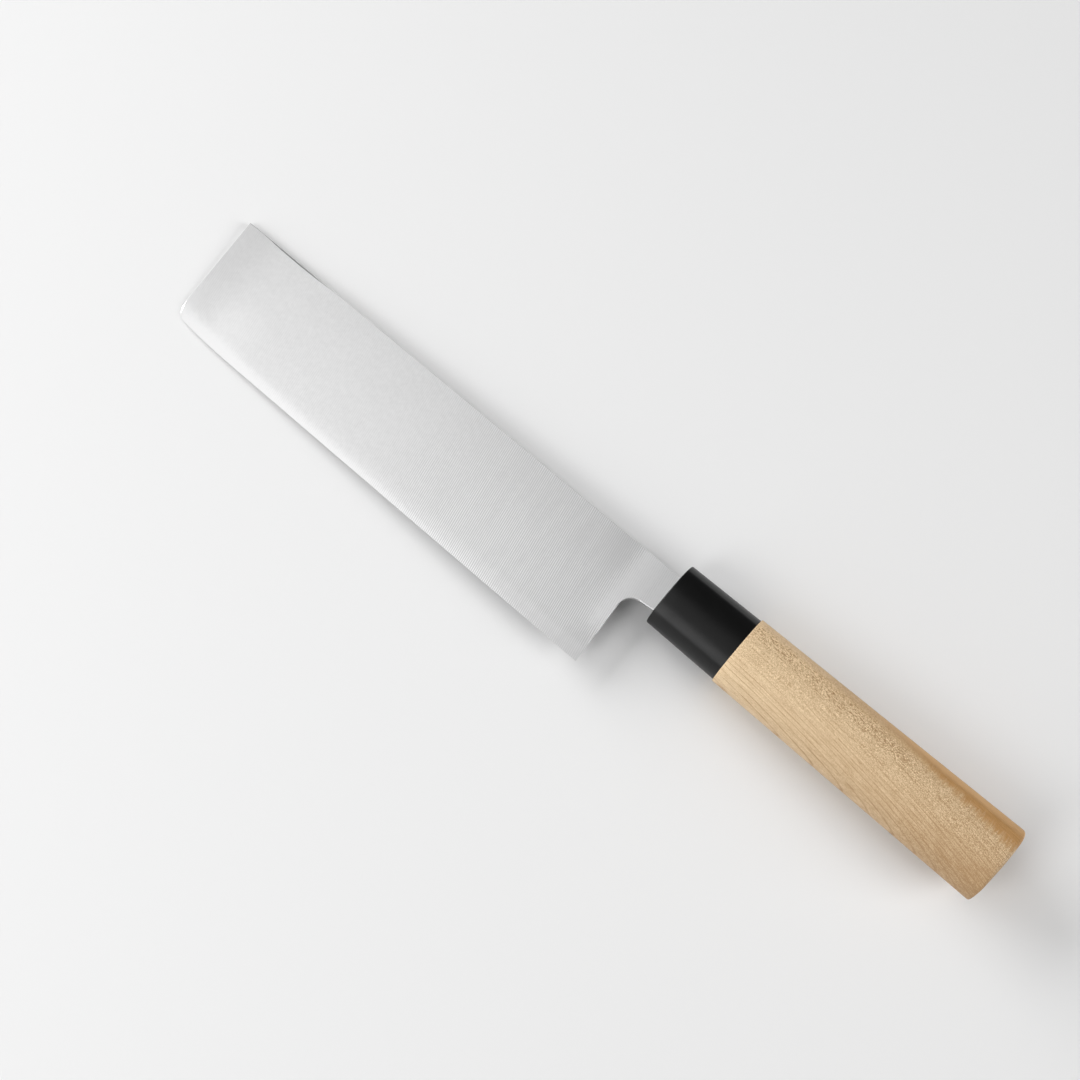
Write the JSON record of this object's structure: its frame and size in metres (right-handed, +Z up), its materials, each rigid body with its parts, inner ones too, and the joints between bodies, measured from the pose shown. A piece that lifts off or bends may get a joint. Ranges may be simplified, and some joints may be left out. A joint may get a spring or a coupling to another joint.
{
  "type": "usuba knife",
  "caption": "Square-ended Japanese vegetable knife with a flat-ground steel blade, a rounded notch at the heel, a black oval ferrule and a plain oval wooden handle.",
  "frame": {"origin": "on the table, under the middle of the knife's bounding box as it lies on its right side", "axes": "+X from the tip to the butt, +Y from the edge to the spine, +Z up from the table and out of the left face"},
  "size_m": [0.2928, 0.0456, 0.024],
  "materials": {
    "blade_steel": "satin stainless steel with very fine grinding lines across the blade",
    "ferrule_black": "satin black moulding",
    "handle_wood": "bare pale magnolia wood with fine pores and a darker streak",
    "bedding_resin": "hardened amber resin"
  },
  "bodies": {
    "root": {"blade": "blade_steel", "ferrule": "ferrule_black", "handle": "handle_wood", "tang_bedding": "bedding_resin"}
  },
  "joints": []
}
